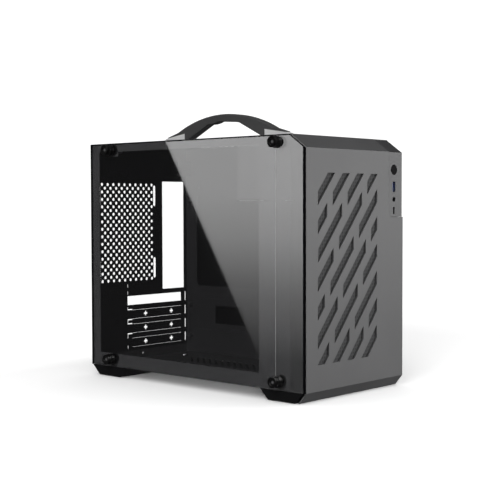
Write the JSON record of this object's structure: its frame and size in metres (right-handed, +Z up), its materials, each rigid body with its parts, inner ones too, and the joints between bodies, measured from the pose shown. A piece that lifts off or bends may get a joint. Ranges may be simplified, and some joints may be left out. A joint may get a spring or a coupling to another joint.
{
  "type": "compact pc tower case with glass side and carry handle",
  "caption": "Compact upright computer case with a dark glass side, a slanted slotted front, an arched carry handle on the roof and two broad foot bars.",
  "frame": {"origin": "middle of the bounding box's footprint, at the level the rubber pads stand on", "axes": "+Z up, +Y from the slotted front to the rear wall, +X from the glass side to the steel side"},
  "size_m": [0.2162, 0.39, 0.3596],
  "materials": {
    "steel": "satin",
    "frame_steel": "satin",
    "tray_steel": "satin",
    "front_plastic": "matte",
    "glass": "gloss",
    "knob_metal": "satin",
    "rubber": "matte",
    "zinc": "satin",
    "brass": "satin",
    "filter": "matte",
    "trim_plastic": "matte",
    "grip_plastic": "satin",
    "mount_plastic": "satin",
    "strip_plastic": "matte",
    "usb_blue": "satin",
    "board": "matte"
  },
  "bodies": {
    "case": {"front_panel": "front_plastic", "front_panel_clips": "trim_plastic", "front_filter": "filter", "io_strip": "strip_plastic", "power_switch": "trim_plastic", "usb_a_shell": "zinc", "usb_a_tongue": "usb_blue", "usb_c_shell": "zinc", "usb_c_tongue": "trim_plastic", "audio_jack": "trim_plastic", "io_board": "board", "io_board_screws": "zinc", "front_frame": "steel", "bottom_panel": "steel", "top_panel": "steel", "rear_panel": "steel", "motherboard_tray": "tray_steel", "motherboard_standoffs": "steel", "psu_bracket": "steel", "drive_bracket": "steel", "glass_side_frame": "frame_steel", "glass_cushions": "rubber", "glass_posts": "zinc", "slot_shield": "steel", "slot_shield_screw": "knob_metal", "power_inlet": "trim_plastic", "inlet_blades": "brass", "handle_grip": "grip_plastic", "handle_mount_front": "mount_plastic", "handle_mount_rear": "mount_plastic", "handle_screws": "zinc", "foot_bar_front": "trim_plastic", "foot_bar_rear": "trim_plastic", "foot_pads": "rubber", "foot_screws": "zinc"},
    "glass_side": {"glass_panel": "glass", "glass_washers": "rubber"},
    "power_key": {"power_button": "trim_plastic"},
    "steel_side": {"right_side_panel": "steel"},
    "glass_knob_front_upper": {"glass_thumbscrew_front_upper": "knob_metal"},
    "glass_knob_front_lower": {"glass_thumbscrew_front_lower": "knob_metal"},
    "glass_knob_rear_upper": {"glass_thumbscrew_rear_upper": "knob_metal"},
    "glass_knob_rear_lower": {"glass_thumbscrew_rear_lower": "knob_metal"},
    "side_knob_lower": {"side_thumbscrew_lower": "knob_metal"},
    "side_knob_upper": {"side_thumbscrew_upper": "knob_metal"}
  },
  "joints": [
    {"name": "power_button_press", "type": "slide", "parent": "case", "child": "power_key", "axis": [0, 1, 0], "range_m": [0, 0.0012], "stiffness_N_per_m": 500, "springref_m": -0.001},
    {"name": "glass_side_lift_off", "type": "slide", "parent": "case", "child": "glass_side", "axis": [-1, 0, 0], "range_m": [0, 0.06]},
    {"name": "steel_side_slide", "type": "slide", "parent": "case", "child": "steel_side", "axis": [0, 1, 0], "range_m": [0, 0.02]},
    {"name": "glass_thumbscrew_front_upper_turn", "type": "hinge", "parent": "glass_side", "child": "glass_knob_front_upper", "pos_m": [-0.09485, -0.1564, 0.3113], "axis": [-1, 0, 0], "continuous": true},
    {"name": "glass_thumbscrew_front_lower_turn", "type": "hinge", "parent": "glass_side", "child": "glass_knob_front_lower", "pos_m": [-0.09485, -0.1564, 0.0253], "axis": [-1, 0, 0], "continuous": true},
    {"name": "glass_thumbscrew_rear_upper_turn", "type": "hinge", "parent": "glass_side", "child": "glass_knob_rear_upper", "pos_m": [-0.09485, 0.145, 0.3113], "axis": [-1, 0, 0], "continuous": true},
    {"name": "glass_thumbscrew_rear_lower_turn", "type": "hinge", "parent": "glass_side", "child": "glass_knob_rear_lower", "pos_m": [-0.09485, 0.145, 0.0253], "axis": [-1, 0, 0], "continuous": true},
    {"name": "side_thumbscrew_lower_turn", "type": "hinge", "parent": "steel_side", "child": "side_knob_lower", "pos_m": [0.10215, 0.1852, 0.052], "axis": [0, 1, 0], "continuous": true},
    {"name": "side_thumbscrew_upper_turn", "type": "hinge", "parent": "steel_side", "child": "side_knob_upper", "pos_m": [0.10215, 0.1852, 0.268], "axis": [0, 1, 0], "continuous": true}
  ]
}
